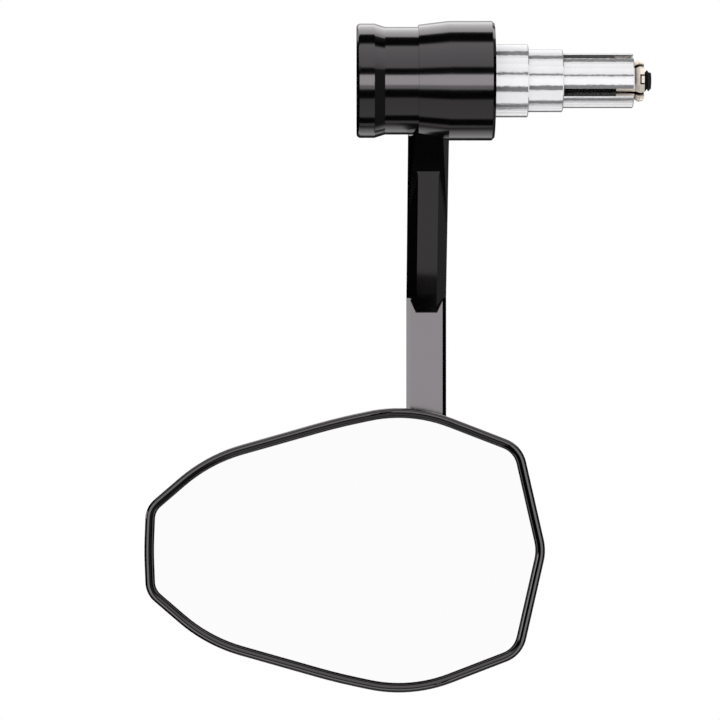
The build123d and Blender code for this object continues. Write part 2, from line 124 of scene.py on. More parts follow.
def add(
    tree: Tree, kind: str, inputs: dict[Any, Any] | None = None, **settings: Any,
) -> Node:
    """Adds a node with its settings, socket values and links.

    Args:
        tree: Node tree that gets the node.
        kind: Node type.
        inputs: Value, or output socket to link, for each input by name or index.
        **settings: The node's own properties.

    Returns:
        The new node.
    """
    node = tree.nodes.new(kind)
    for name, value in settings.items():
        setattr(node, name, value)
    for socket, value in (inputs or {}).items():
        if isinstance(value, Socket):
            tree.links.new(value, node.inputs[socket])
        else:
            node.inputs[socket].default_value = value
    return node


def skin(name: str, points: np.ndarray, sharp_deg: float) -> bpy.types.Object:
    """Makes a closed mesh of a grid of points whose columns run round an axis.

    Row i and row i + 1 are joined by quads, and the last column joins the first. Rows that
    shrink to one point close as poles.

    Args:
        name: Name of the object.
        points: Array of rows x columns x 3, in metres.
        sharp_deg: Faces that meet at more than this angle get a sharp edge.

    Returns:
        The object, at the origin and unturned.
    """
    rows, columns = points.shape[:2]
    index = np.arange(rows * columns).reshape(rows, columns)
    ahead = np.roll(index, -1, axis=1)
    quads = np.stack([index[:-1], ahead[:-1], ahead[1:], index[1:]], axis=-1).reshape(-1, 4)
    mesh = bpy.data.meshes.new(name)
    mesh.from_pydata(points.reshape(-1, 3).tolist(), [], quads.tolist())
    work = bmesh.new()
    work.from_mesh(mesh)
    bmesh.ops.remove_doubles(work, verts=work.verts, dist=WELD)
    bmesh.ops.recalc_face_normals(work, faces=work.faces)
    work.to_mesh(mesh)
    work.free()
    mesh.polygons.foreach_set("use_smooth", np.ones(len(mesh.polygons), dtype=bool))
    mesh.set_sharp_from_angle(angle=math.radians(sharp_deg))
    piece = bpy.data.objects.new(name, mesh)
    bpy.context.scene.collection.objects.link(piece)
    return piece


@dataclass(frozen=True)
class Finish:
    """A material: what the surface is, its colour, its gloss and the cast of its reflections."""

    name: str
    colour: str
    roughness: float
    metallic: float = 0.0
    ior: float = 1.5
    cast: str = "#FFFFFF"

    def material(self) -> bpy.types.Material:
        """Builds the material.

        Returns:
            A material with one principled shader and this finish's detail.
        """
        made = bpy.data.materials.new(self.name)
        made.use_nodes = True
        tree = made.node_tree
        tree.nodes.clear()
        shader = add(tree, "ShaderNodeBsdfPrincipled", {
            "Base Color": linear(self.colour), "Roughness": self.roughness,
            "Metallic": self.metallic, "IOR": self.ior, "Specular Tint": linear(self.cast),
        })
        add(tree, "ShaderNodeOutputMaterial", {"Surface": shader.outputs[0]})
        place = add(tree, "ShaderNodeTexCoord").outputs["Object"]
        self.detail(tree, shader, place)
        return made

    def detail(self, tree: Tree, shader: Node, place: Socket) -> None:
        """Adds the pattern of the surface; a plain finish has none."""


@dataclass(frozen=True)
class PolishedAnodising(Finish):
    """Black dyed anodic film on polished aluminium.

    The eye sees deep black with clear reflections, and a very faint haze where the film's
    gloss changes from place to place.
    """

    cloud_mm: float = 9.0
    gloss_change: float = 0.03
    grain_mm: float = 0.35
    grain_height_mm: float = 0.0002

    def detail(self, tree: Tree, shader: Node, place: Socket) -> None:
        """Adds the haze to the roughness and the film's fine grain to the normal.

        Args:
            tree: Node tree of the material.
            shader: Its principled shader.
            place: Object coordinates.
        """
        cloud = add(tree, "ShaderNodeTexNoise", {
            "Vector": place, "Scale": 1 / (self.cloud_mm * MM), "Detail": 3.0,
        })
        rough = add(tree, "ShaderNodeMapRange", {
            "Value": cloud.outputs["Fac"],
            "To Min": self.roughness - self.gloss_change,
            "To Max": self.roughness + self.gloss_change,
        })
        tree.links.new(rough.outputs["Result"], shader.inputs["Roughness"])
        grain = add(tree, "ShaderNodeTexNoise", {
            "Vector": place, "Scale": 1 / (self.grain_mm * MM), "Detail": 2.0,
        })
        bump = add(tree, "ShaderNodeBump", {
            "Height": grain.outputs["Fac"], "Strength": 1.0,
            "Distance": self.grain_height_mm * MM,
        })
        tree.links.new(bump.outputs["Normal"], shader.inputs["Normal"])


@dataclass(frozen=True)
class TurnedMetal(Finish):
    """Metal turned on a lathe about the bar axis, with milled slots.

    The eye sees a bright skin with a fine uneven grain, so that the edges of reflections break
    into short dashes, and smooth slot walls that mirror what lies beside them. The bore is
    painted a darker grey, as painted shade inside the piece. The grain is drawn wider than a tool
    leaves it, because the real feed of about 0.1 mm is too fine to show.
    """

    grain_mm: float = 1.0
    grain_height_mm: float = 0.026
    shade: str = "#BDBCBE"
    shade_mm: float = 4.0
    shade_share: float = 0.25
    # Painted shade: the bore's colour, darker than the outside.
    bore: str = "#858281"
    wall_metallic: float = 0.86

    def detail(self, tree: Tree, shader: Node, place: Socket) -> None:
        """Adds the tool's grain to the outside, a slow change to the colour, and the look inside.

        Args:
            tree: Node tree of the material.
            shader: Its principled shader.
            place: Object coordinates.
        """
        turned, inward = self.shares(tree, place)
        grain = add(tree, "ShaderNodeTexNoise", {
            "Vector": place, "Scale": 1 / (self.grain_mm * MM), "Detail": 2.0,
        })
        bump = add(tree, "ShaderNodeBump", {
            "Height": grain.outputs["Fac"], "Strength": turned,
            "Distance": self.grain_height_mm * MM,
        })
        tree.links.new(bump.outputs["Normal"], shader.inputs["Normal"])
        cloud = add(tree, "ShaderNodeTexNoise", {
            "Vector": place, "Scale": 1 / (self.shade_mm * MM), "Detail": 4.0,
        })
        share = add(tree, "ShaderNodeMapRange", {
            "Value": cloud.outputs["Fac"], "To Min": 0.0, "To Max": self.shade_share,
        })
        outside = add(tree, "ShaderNodeMix", {
            "Factor": share.outputs["Result"], "A": linear(self.colour), "B": linear(self.shade),
        }, data_type="RGBA").outputs["Result"]
        self.dress_inside(tree, shader, outside, turned, inward)

    def dress_inside(
        self, tree: Tree, shader: Node, outside: Socket, turned: Socket, inward: Socket,
    ) -> None:
        """Takes most of the scatter off the walls of cuts, and paints shade into the bore as a
        darker grey.

        Args:
            tree: Node tree of the material.
            shader: Its principled shader.
            outside: Colour of the outside.
            turned: 1 on the outside, 0 in the bore and on the walls.
            inward: 1 in the bore, 0 elsewhere.
        """
        # Painted shade: the bore takes the darker grey.
        mix = add(tree, "ShaderNodeMix", {
            "Factor": inward, "A": outside, "B": linear(self.bore),
        }, data_type="RGBA")
        tree.links.new(mix.outputs["Result"], shader.inputs["Base Color"])
        metallic = add(tree, "ShaderNodeMapRange", {
            "Value": turned, "To Min": self.wall_metallic, "To Max": self.metallic,
        })
        tree.links.new(metallic.outputs["Result"], shader.inputs["Metallic"])

    def shares(self, tree: Tree, place: Socket) -> tuple[Socket, Socket]:
        """Tells the outside of a turned piece from its bore and from the walls of lengthwise cuts.

        With n the normal and r the way out from the bar axis, n.x ** 2 + max(n.r, 0) ** 2 is 1
        on the outside and on the ends, and near 0 in the bore and on the walls. max(-n.r, 0) is 1
        in the bore and near 0 elsewhere.

        Args:
            tree: Node tree of the material.
            place: Object coordinates.

        Returns:
            The sockets that hold the two.
        """
        normal = add(tree, "ShaderNodeTexCoord").outputs["Normal"]
        across = add(tree, "ShaderNodeVectorMath", {
            0: place, 1: (0, 1, 1),
        }, operation="MULTIPLY").outputs[0]
        outward = add(tree, "ShaderNodeVectorMath", {0: across}, operation="NORMALIZE").outputs[0]
        rise = add(tree, "ShaderNodeVectorMath", {
            0: normal, 1: outward,
        }, operation="DOT_PRODUCT").outputs["Value"]
        along = add(tree, "ShaderNodeSeparateXYZ", {0: normal}).outputs["X"]
        outer = add(tree, "ShaderNodeMath", {0: rise, 1: 0.0}, operation="MAXIMUM").outputs[0]
        outer_squared = add(tree, "ShaderNodeMath", {
            0: outer, 1: outer,
        }, operation="MULTIPLY").outputs[0]
        along_squared = add(tree, "ShaderNodeMath", {
            0: along, 1: along,
        }, operation="MULTIPLY").outputs[0]
        turned = add(tree, "ShaderNodeMath", {
            0: outer_squared, 1: along_squared,
        }, operation="ADD").outputs[0]
        inward = add(tree, "ShaderNodeMath", {
            0: rise, 1: -1.0,
        }, operation="MULTIPLY", use_clamp=True).outputs[0]
        return turned, inward


@dataclass(frozen=True)
class GrooveShadedMetal(TurnedMetal):
    """Turned metal with painted shade, dark and matt, in its grooves and gaps."""

    painted_shade: str = "#1A110A"
    painted_shade_reach_mm: float = 1.8
    painted_shade_from: float = 0.52
    painted_shade_to: float = 0.7
    painted_shade_samples: int = 12
    gloss: float = 0.5

    def dress_inside(
        self, tree: Tree, shader: Node, outside: Socket, turned: Socket, inward: Socket,
    ) -> None:
        """Paints shade, dark and matt, wherever little light gets in, and takes the gloss off it
        there.

        Args:
            tree: Node tree of the material.
            shader: Its principled shader.
            outside: Colour of the metal where no shade is painted.
            turned: Not used here, because the painted shade covers the walls as well.
            inward: Not used here, for the same reason.
        """
        # Painted shade: ambient occlusion turns grooves and gaps dark brown, matt and less
        # metallic.
        open_share = add(tree, "ShaderNodeAmbientOcclusion", {
            "Distance": self.painted_shade_reach_mm * MM,
        }, samples=self.painted_shade_samples)
        unshaded = add(tree, "ShaderNodeMapRange", {
            "Value": open_share.outputs["AO"],
            "From Min": self.painted_shade_from, "From Max": self.painted_shade_to,
        }).outputs["Result"]
        mix = add(tree, "ShaderNodeMix", {
            "Factor": unshaded, "A": linear(self.painted_shade), "B": outside,
        }, data_type="RGBA")
        tree.links.new(mix.outputs["Result"], shader.inputs["Base Color"])
        for socket, full in (("Metallic", self.metallic), ("Specular IOR Level", self.gloss)):
            level = add(tree, "ShaderNodeMapRange", {"Value": unshaded, "To Min": 0.0, "To Max": full})
            tree.links.new(level.outputs["Result"], shader.inputs[socket])


@dataclass(frozen=True)
class SpeckledFinish(Finish):
    """A surface with fine specks in its colour and gloss, as plating, oxide and plastic have."""

    speck: str = "#000000"
    speck_mm: float = 0.4
    speck_share: float = 0.4
    gloss_change: float = 0.15
    bump_mm: float = 0.002

    def detail(self, tree: Tree, shader: Node, place: Socket) -> None:
        """Adds the specks to the colour, the roughness and the normal.

        Args:
            tree: Node tree of the material.
            shader: Its principled shader.
            place: Object coordinates.
        """
        specks = add(tree, "ShaderNodeTexNoise", {
            "Vector": place, "Scale": 1 / (self.speck_mm * MM), "Detail": 4.0,
        }).outputs["Fac"]
        share = add(tree, "ShaderNodeMapRange", {
            "Value": specks, "To Min": 0.0, "To Max": self.speck_share,
        })
        mix = add(tree, "ShaderNodeMix", {
            "Factor": share.outputs["Result"], "A": linear(self.colour), "B": linear(self.speck),
        }, data_type="RGBA")
        tree.links.new(mix.outputs["Result"], shader.inputs["Base Color"])
        rough = add(tree, "ShaderNodeMapRange", {
            "Value": specks,
            "To Min": self.roughness * (1 - self.gloss_change),
            "To Max": self.roughness * (1 + self.gloss_change),
        })
        tree.links.new(rough.outputs["Result"], shader.inputs["Roughness"])
        bump = add(tree, "ShaderNodeBump", {
            "Height": specks, "Strength": 1.0, "Distance": self.bump_mm * MM,
        })
        tree.links.new(bump.outputs["Normal"], shader.inputs["Normal"])


@dataclass(frozen=True)
class SilveredGlass(Finish):
    """Chromed flat glass: a clean reflection with a very slight change of gloss, as if wiped."""

    smear_mm: float = 30.0
    smear: float = 0.012

    def detail(self, tree: Tree, shader: Node, place: Socket) -> None:
        """Adds the wiped look to the roughness.

        Args:
            tree: Node tree of the material.
            shader: Its principled shader.
            place: Object coordinates.
        """
        smear = add(tree, "ShaderNodeTexNoise", {
            "Vector": place, "Scale": 1 / (self.smear_mm * MM), "Detail": 5.0,
        })
        rough = add(tree, "ShaderNodeMapRange", {
            "Value": smear.outputs["Fac"],
            "To Min": self.roughness, "To Max": self.roughness + self.smear,
        })
        tree.links.new(rough.outputs["Result"], shader.inputs["Roughness"])


FINISHES: dict[Slot, Finish] = {
    # Sealed anodic film is clear oxide over black dye: it reflects more than paint does, with a
    # faint violet cast.
    Slot.BLACK_ANODISED: PolishedAnodising(
        "black_anodised_polished", "#040404", 0.11, ior=1.82, cast="#FFF8FD"),
    # Hot black oxide on steel: dull black that hardly mirrors anything.
    Slot.BLACK_STEEL: SpeckledFinish(
        "steel_black_oxide", "#242323", 0.55, ior=1.12, speck="#131212", bump_mm=0.0004),
    # Moulded nylon: soft black with a fine uneven sheen.
    Slot.NYLON: SpeckledFinish(
        "nylon_moulded_black", "#1B1B1C", 0.5, speck="#101011", speck_mm=0.6),
    # Turned and etched aluminium: a quarter of its light comes back scattered, and its bore has
    # painted shade, a darker grey.
    Slot.TURNED_ALUMINIUM: TurnedMetal("aluminium_turned", "#E9E8EA", 0.1, metallic=0.76),
    # Satin brass in a pale alloy: warm cream, with most of its light scattered, and painted shade
    # in its grooves and gaps.
    Slot.PALE_BRASS: GrooveShadedMetal(
        "brass_pale_satin", "#FBF1E4", 0.2, metallic=0.35, shade="#DDC3A5"),
    # Zinc plating: cool grey with small crystals of their own shade.
    Slot.ZINC_STEEL: SpeckledFinish(
        "steel_zinc_plated", "#B9BBC0", 0.3, metallic=1.0, speck="#8C8F96", speck_mm=1.2,
        speck_share=0.6),
    # Foam tape: dead matt black with open pores.
    Slot.ADHESIVE_FOAM: SpeckledFinish(
        "foam_adhesive_black", "#141414", 0.9, speck="#262626", bump_mm=0.03),
    # Glass with a chrome layer: a bright neutral mirror.
    Slot.MIRROR_GLASS: SilveredGlass("glass_chromed", "#E7E6E7", 0.008, metallic=1.0),
}


@dataclass
class Dresser:
    """Keeps one material for each slot and puts it on the pieces."""

    made: dict[Slot, bpy.types.Material] = field(default_factory=dict)

    def material(self, slot: Slot) -> bpy.types.Material:
        """Gives the slot's material, built at its first use.

        Args:
            slot: Material slot.

        Returns:
            The material that all pieces of the slot share.
        """
        if slot not in self.made:
            self.made[slot] = FINISHES[slot].material()
        return self.made[slot]

    def dress_node(self, node: str, slot: Slot) -> None:
        """Puts a slot's material on a piece of the frame.

        Args:
            node: Name of the piece.
            slot: Material slot.
        """
        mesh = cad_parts[node].data
        mesh.materials.clear()
        mesh.materials.append(self.material(slot))
        log.info("dressed %s as %s", node, slot.value)

    def dress_piece(self, piece: bpy.types.Object, slot: Slot, body: str, *nodes: str) -> None:
        """Dresses a new piece, lets it ride on a body and stand for nodes of the frame.

        Args:
            piece: The new piece.
            slot: Material slot.
            body: Body that it moves with.
            *nodes: Nodes that it stands for.
        """
        piece.data.materials.append(self.material(slot))
        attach(piece, body)
        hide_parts(*nodes)
        log.info("made %s for %s", piece.name, ", ".join(nodes))


@dataclass(frozen=True)
class Row:
    """One row of a turned piece, in millimetres along and across its axis."""

    along: float
    across: float
    section: Section = Section.ROUND


@dataclass
class TurnedPiece:
    """A piece turned about an axis, with hexagonal rows and cut threads where it needs them.

    A point of the surface is start + along * axis + r * (cos a * side + sin a * lift). On a
    round row r is the row's own radius. On a hexagonal row it is the radius divided by the
    cosine of the angle to the nearest flat's middle. On a threaded row it drops from the crest
    by the thread's depth times a wave that rises and falls once in each pitch, and the wave
    moves on by one pitch in each turn. The wave is the way from the crest's middle, in pitches,
    times flank_rise, less crest_flat, held between 0 and 1. Sizes are in millimetres.
    """

    pitch: float = 1.0
    depth: float = 0.61
    flank_rise: float = 2.6
    crest_flat: float = 0.25
    columns: int = 96
    rows_per_pitch: int = 12
    sharp_deg: float = 32.0

    def thread(self, start: float, end: float, radius: float) -> list[Row]:
        """Lists the rows of a thread.

        Args:
            start: Where the thread starts along the axis, in millimetres.
            end: Where it ends.
            radius: Radius at its crests.

        Returns:
            Evenly spaced rows with the thread's section.
        """
        count = math.ceil((end - start) / self.pitch * self.rows_per_pitch)
        return [Row(float(at), radius, Section.THREAD) for at in np.linspace(start, end, count)]

    def angles(self) -> np.ndarray:
        """Gives the angle of each column, in radians."""
        return np.arange(self.columns) * (2 * math.pi / self.columns)

    def radii(self, rows: list[Row]) -> np.ndarray:
        """Works out the radius of each point.

        Args:
            rows: Rows of the piece.

        Returns:
            Array of rows x columns, in millimetres.
        """
        angle = self.angles()
        along = np.array([row.along for row in rows])[:, None]
        across = np.array([row.across for row in rows])[:, None]
        kinds = np.array([row.section.value for row in rows])[:, None]
        sixth = math.pi / 3
        hexagon = across / np.cos((angle + sixth / 2) % sixth - sixth / 2)
        turn = (along / self.pitch - angle / (2 * math.pi)) % 1
        wave = np.clip(np.abs(turn - 0.5) * self.flank_rise - self.crest_flat, 0, 1)
        thread = across - self.depth * wave
        return np.select(
            [kinds == Section.HEXAGON.value, kinds == Section.THREAD.value],
            [hexagon, thread], across)

    def wrap(
        self, name: str, along: np.ndarray, across: np.ndarray,
        start: np.ndarray, axis: np.ndarray, side: np.ndarray,
    ) -> bpy.types.Object:
        """Makes the piece from the radius of each point.

        Args:
            name: Name of the piece.
            along: Place of each row along the axis, in millimetres.
            across: Radii as rows x columns, in millimetres.
            start: Point on the axis that the rows are measured from, in metres.
            axis: Direction of the axis.
            side: Direction at angle 0.

        Returns:
            The new object.
        """
        angle = self.angles()[:, None]
        outward = np.cos(angle) * side + np.sin(angle) * np.cross(axis, side)
        points = start + along[:, None, None] * MM * axis + across[..., None] * MM * outward
        return skin(name, points, self.sharp_deg)

    def build(
        self, name: str, rows: list[Row], start: np.ndarray, axis: np.ndarray, side: np.ndarray,
    ) -> bpy.types.Object:
        """Makes the piece from its rows.

        Args:
            name: Name of the piece.
            rows: Rows from one end to the other.
            start: Point on the axis that the rows are measured from, in metres.
            axis: Direction of the axis.
            side: Direction at angle 0.

        Returns:
            The new object.
        """
        along = np.array([row.along for row in rows])
        return self.wrap(name, along, self.radii(rows), start, axis, side)


@dataclass
class BarClamp:
    """Outer cap, sleeves, cone and clamp screw: the part that goes into the handlebar.

    Sizes of the screw are in millimetres.
    """

    dresser: Dresser
    thread_d: float = 6.0
    thread_len: float = 30.0
    head_len: float = 6.0
    key_flat: float = 2.5
    key_depth: float = 3.2
    key_point: float = 1.2
    edge: float = 0.7

    def dress(self) -> None:
        """Gives the turned pieces their finishes."""
        for node in SLEEVE_NODES:
            self.dresser.dress_node(node, Slot.TURNED_ALUMINIUM)
        for node in ("expander_cone", "cone_nut"):
            self.dresser.dress_node(node, Slot.PALE_BRASS)
        self.dresser.dress_node("end_cap", Slot.BLACK_ANODISED)
        self.dresser.dress_node("swivel_washer", Slot.NYLON)
        self.dresser.dress_node("screw_washer", Slot.BLACK_STEEL)

    def build_screw(self) -> None:
        """Makes the clamp screw with its key recess and its cut thread."""
        low, high = (np.array(corner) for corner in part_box("clamp_screw"))
        length = (high[0] - low[0]) / MM
        head_r = (high[2] - low[2]) / 2 / MM
        shank_r = self.thread_d / 2
        turned = TurnedPiece()
        cut_from = length - self.thread_len
        rows = [
            Row(self.key_depth + self.key_point, 0.0),
            Row(self.key_depth, self.key_flat, Section.HEXAGON),
            Row(0.0, self.key_flat, Section.HEXAGON),
            Row(0.0, head_r - self.edge),
            Row(self.edge, head_r),
            Row(self.head_len, head_r),
            Row(self.head_len, shank_r),
            Row(cut_from, shank_r),
            *turned.thread(cut_from, length - self.edge, shank_r),
            Row(length, shank_r - self.edge),
            Row(length, 0.0),
        ]
        start = np.array([low[0], 0.0, 0.0])
        screw = turned.build(CUT_SCREW, rows, start, INTO_BAR, AHEAD)
        self.dresser.dress_piece(screw, Slot.BLACK_STEEL, "screw", "clamp_screw")


@dataclass
class MirrorArm:
    """Clamp ring and faceted arm, with the stud, washers and nut at its end.

    Sizes of the stud and the nut are in millimetres. The seat is measured from the ball's centre,
    and nut_round is the round of the nut's face as a share of its flats.
    """

    dresser: Dresser
    ball_d: float = 9.0
    ball_rows: int = 40
    neck_d: float = 4.6
    flange_d: float = 9.2
    flange_t: float = 1.3
    seat: float = 10.28
    thread_d: float = 6.0
    nut_round: float = 0.95
    nut_rows: int = 9
    nut_columns: int = 144
    chamfer_deg: float = 60.0

    def dress(self) -> None:
        """Gives the arm and its washers their finishes."""
        self.dresser.dress_node("mirror_arm", Slot.BLACK_ANODISED)
        for node in ("stud_washer", "stud_lock_washer"):
            self.dresser.dress_node(node, Slot.ZINC_STEEL)

    def axis_start(self) -> np.ndarray:
        """Works out the ball's centre from the stud's box.

        Returns:
            The centre, in metres.
        """
        low, high = (np.array(corner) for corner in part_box("ball_stud"))
        centre = (low + high) / 2
        centre[1] = low[1] + self.ball_d / 2 * MM
        return centre

    def build_stud(self) -> None:
        """Makes the ball stud: a polished ball, a neck, a flange and a cut thread.

        The ball's rows lie at r * cos t along the axis and r * sin t across it, with t from half
        a turn at the pole to the angle at which the neck begins.
        """
        _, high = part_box("ball_stud")
        centre = self.axis_start()
        end = (high[1] - centre[1]) / MM
        ball_r, neck_r, rod_r = self.ball_d / 2, self.neck_d / 2, self.thread_d / 2
        turns = np.linspace(math.pi, math.asin(neck_r / ball_r), self.ball_rows)
        turned = TurnedPiece()
        point = turned.depth
        rows = [
            *(Row(float(ball_r * math.cos(t)), float(ball_r * math.sin(t))) for t in turns),
            Row(self.seat - self.flange_t, neck_r),
            Row(self.seat - self.flange_t, self.flange_d / 2),
            Row(self.seat, self.flange_d / 2),
            *turned.thread(self.seat, end - point, rod_r),
            Row(end, rod_r - point),
            Row(end, 0.0),
        ]
        stud = turned.build("ball_stud_threaded", rows, centre, AHEAD, UP)
        self.dresser.dress_piece(stud, Slot.ZINC_STEEL, "stud", "ball_stud")

    def build_nut(self) -> None:
        """Makes the hexagon nut with the curved edges that turned chamfers leave on its flats.

        The radius is the smaller of the hexagon's and of a chamfer cone that opens by the
        tangent of chamfer_deg for each step along the axis from either face.
        """
        low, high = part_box("stud_nut")
        centre = self.axis_start()
        thick = (high[1] - low[1]) / MM
        flat_r = (high[2] - low[2]) / 2 / MM
        face_r = flat_r * self.nut_round
        corner_r = flat_r / math.cos(math.pi / 6)
        opening = math.tan(math.radians(self.chamfer_deg))
        near = np.linspace(0, (corner_r - face_r) / opening, self.nut_rows)
        steps = np.concatenate([near, thick - near[::-1]])
        cone = face_r + np.minimum(steps, thick - steps) * opening
        turned = TurnedPiece(columns=self.nut_columns)
        hexagon = turned.radii([Row(0.0, flat_r, Section.HEXAGON)])
        outside = np.minimum(cone[:, None], hexagon)
        bore = np.full((1, turned.columns), self.thread_d / 2)
        along = np.concatenate([[0.0], steps, [thick, 0.0]])
        across = np.concatenate([bore, outside, bore, bore])
        start = np.array([centre[0], low[1], centre[2]])
        nut = turned.wrap("stud_nut_chamfered", along, across, start, AHEAD, UP)
        self.dresser.dress_piece(nut, Slot.ZINC_STEEL, "stud", "stud_nut")


@dataclass
class MirrorHead:
    """Housing, ball socket and glass."""

    dresser: Dresser

    def dress(self) -> None:
        """Gives the head's pieces their finishes."""
        for node in ("mirror_housing", "socket_cap"):
            self.dresser.dress_node(node, Slot.BLACK_ANODISED)
        self.dresser.dress_node("socket_cap_screws", Slot.BLACK_STEEL)
        self.dresser.dress_node("ball_liner", Slot.NYLON)
        self.dresser.dress_node("mirror_pad", Slot.ADHESIVE_FOAM)
        self.dresser.dress_node("mirror_glass", Slot.MIRROR_GLASS)


@dataclass(frozen=True)
class Panel:
    """Brightness of the studio at one angle round the bar axis.

    The angle is 0 straight in front of the mirror, 90 overhead and 180 behind it, in degrees.
    Reach is how far the panel goes to either side, as a share of the way to the side walls.
    """

    angle: float
    level: float
    reach: float


@dataclass(frozen=True)
class Lamp:
    """A rectangular softbox, in metres and watts.

    A mirrored lamp shows in reflections. Where it names pieces, it lights only those, as flags
    that keep it off the rest would.
    """

    name: str
    at: tuple[float, float, float]
    size: tuple[float, float]
    watts: float
    mirrored: bool
    pieces: tuple[str, ...] = ()


@dataclass
class Studio:
    """Softboxes, floor and camera.

    The panels shine at up to the brightest level, and edge_sharpness sets how fast their ends
    fade. Beside them, the wall's level grows from the middle to right_level and stops at
    right_end. Scattered light has the ambient level. Places are in metres unless their names say
    otherwise.
    """

    brightest: float = 1.3
    ambient: float = 0.8
    right_level: float = 0.14
    right_end: float = 0.9
    edge_sharpness: float = 14.0
    panels: tuple[Panel, ...] = (
        # Underneath, behind the piece.
        Panel(-180, 0.0, 0.3), Panel(-152, 0.05, 0.3), Panel(-147, 0.85, 0.36),
        Panel(-141, 1.1, 0.36), Panel(-120, 0.72, 0.36), Panel(-115, 0.3, 0.36),
        Panel(-108, 0.18, 0.36), Panel(-105.5, 0.0, 0.36),
        # Below.
        Panel(-84.7, 0.0, 0.36), Panel(-81.7, 0.44, 0.36), Panel(-42, 0.4, 0.36),
        Panel(-39.2, 0.0, 0.36),
        # In front.
        Panel(-22.4, 0.0, 0.36), Panel(-20.2, 1.22, 0.36), Panel(6.1, 1.22, 0.36),
        Panel(9.4, 0.0, 0.5),
        # Above.
        Panel(21, 0.0, 0.6), Panel(24, 0.82, 0.62), Panel(73, 1.1, 0.62), Panel(78, 0.0, 0.6),
        # Overhead, behind the piece.
        Panel(101.2, 0.0, 0.36), Panel(105.2, 0.8, 0.36), Panel(125, 1.07, 0.36),
        Panel(150, 1.25, 0.36), Panel(160, 0.85, 0.36), Panel(168, 0.0, 0.36),
        Panel(180, 0.0, 0.3),
    )
    floor_drop: float = 0.22
    floor_r: float = 0.9
    floor_sides: int = 64
    lens_px: float = 3560.0
    frame_px: float = 720.0
    sensor_mm: float = 36.0
    eye_mm: tuple[float, float, float] = (-38.3, -1015.2, -79.6)
    aim: tuple[float, float, float] = (-0.04, 0.02, -0.09)
    # Black film, bright sleeves and glass each need their own level of light to look as they do
    # in the photograph, so most lamps light only some of the pieces.
    lamps: tuple[Lamp, ...] = (
        Lamp("shoulder_softbox", (-0.5, -0.7, 1.1), (0.9, 0.9), 9.0, False),
        Lamp("front_softbox", (-0.04, -6.0, -0.28), (4.6, 2.2), 58.5, True,
             ("end_cap", "mirror_arm")),
        Lamp("rim_softbox", (-0.04, -6.0, -0.28), (4.6, 2.2), 18.0, True, ("mirror_housing",)),
        Lamp("back_softbox", (-0.04, 0.72, 0.96), (2.4, 1.0), 10.0, True, BLACK_NODES),
        Lamp("left_softbox", (-0.5, 0.0, -0.07), (0.36, 0.1), 0.33, True,
             ("mirror_arm", "mirror_housing")),
        Lamp("strip_softbox", (-0.04, -2.94, 0.58), (3.0, 0.35), 3.4, True, SLEEVE_NODES),
        Lamp("upper_softbox", (-0.04, -2.4, 1.8), (3.0, 1.38), 2.2, True, SLEEVE_NODES),
        Lamp("overhead_softbox", (-0.04, -0.36, 1.97), (3.0, 0.25), 2.1, True, SLEEVE_NODES),
        Lamp("low_softbox", (-0.04, -0.61, -1.03), (2.4, 0.9), 4.3, True, SLEEVE_NODES),
        Lamp("right_softbox", (1.0, -0.1, 0.0), (0.9, 0.9), 2.3, True, SLEEVE_NODES),
        Lamp("under_softbox", (-0.04, 0.38, -1.13), (2.4, 0.49), 2.0, True, SLEEVE_NODES),
        Lamp("slot_softbox", (-0.27, -0.48, -0.21), (0.2, 0.2), 9.0, False, (CUT_SCREW,)),
        Lamp("left_wall", (-2.23, -2.03, -0.09), (5.0, 6.0), 75.0, True, ("mirror_glass",)),
        Lamp("right_wall", (2.15, -2.03, -0.09), (5.0, 6.0), 75.0, True, ("mirror_glass",)),
    )

    def panel_light(self, tree: Tree) -> Socket:
        """Works out the light that reflections find in each direction.

        The ramp is read at the angle round the bar axis, atan2(z, -y). Its level holds where x is
        within the panel's reach to either side, and elsewhere the side wall's level does.

        Args:
            tree: Node tree of the world.

        Returns:
            The socket that holds the level.
        """
        way = add(tree, "ShaderNodeTexCoord").outputs["Generated"]
        parts = add(tree, "ShaderNodeSeparateXYZ", {0: way}).outputs
        to_front = add(tree, "ShaderNodeMath", {
            0: parts["Y"], 1: -1.0,
        }, operation="MULTIPLY").outputs[0]
        round_bar = add(tree, "ShaderNodeMath", {
            0: parts["Z"], 1: to_front,
        }, operation="ARCTAN2").outputs[0]
        share = add(tree, "ShaderNodeMapRange", {
            "Value": round_bar, "From Min": -math.pi, "From Max": math.pi,
        }).outputs["Result"]
        ramp = add(tree, "ShaderNodeValToRGB", {"Fac": share})
        self.fill_ramp(ramp.color_ramp)
        split = add(tree, "ShaderNodeSeparateColor", {0: ramp.outputs["Color"]}).outputs
        aside = add(tree, "ShaderNodeMath", {0: parts["X"]}, operation="ABSOLUTE").outputs[0]
        inside = add(tree, "ShaderNodeMath", {
            0: split["Green"], 1: aside,
        }, operation="SUBTRACT").outputs[0]
        window = add(tree, "ShaderNodeMath", {
            0: inside, 1: self.edge_sharpness,
        }, operation="MULTIPLY", use_clamp=True).outputs[0]
        bright = add(tree, "ShaderNodeMath", {
            0: split["Red"], 1: self.brightest,
        }, operation="MULTIPLY").outputs[0]
        wall = add(tree, "ShaderNodeMath", {
            0: parts["X"], 1: self.right_end,
        }, operation="LESS_THAN").outputs[0]
        rising = add(tree, "ShaderNodeMath", {
            0: parts["X"], 1: self.right_level,
        }, operation="MULTIPLY", use_clamp=True).outputs[0]
        right = add(tree, "ShaderNodeMath", {0: rising, 1: wall}, operation="MULTIPLY").outputs[0]
        level = add(tree, "ShaderNodeMix", {"Factor": window, "A": right, "B": bright})
        return level.outputs["Result"]

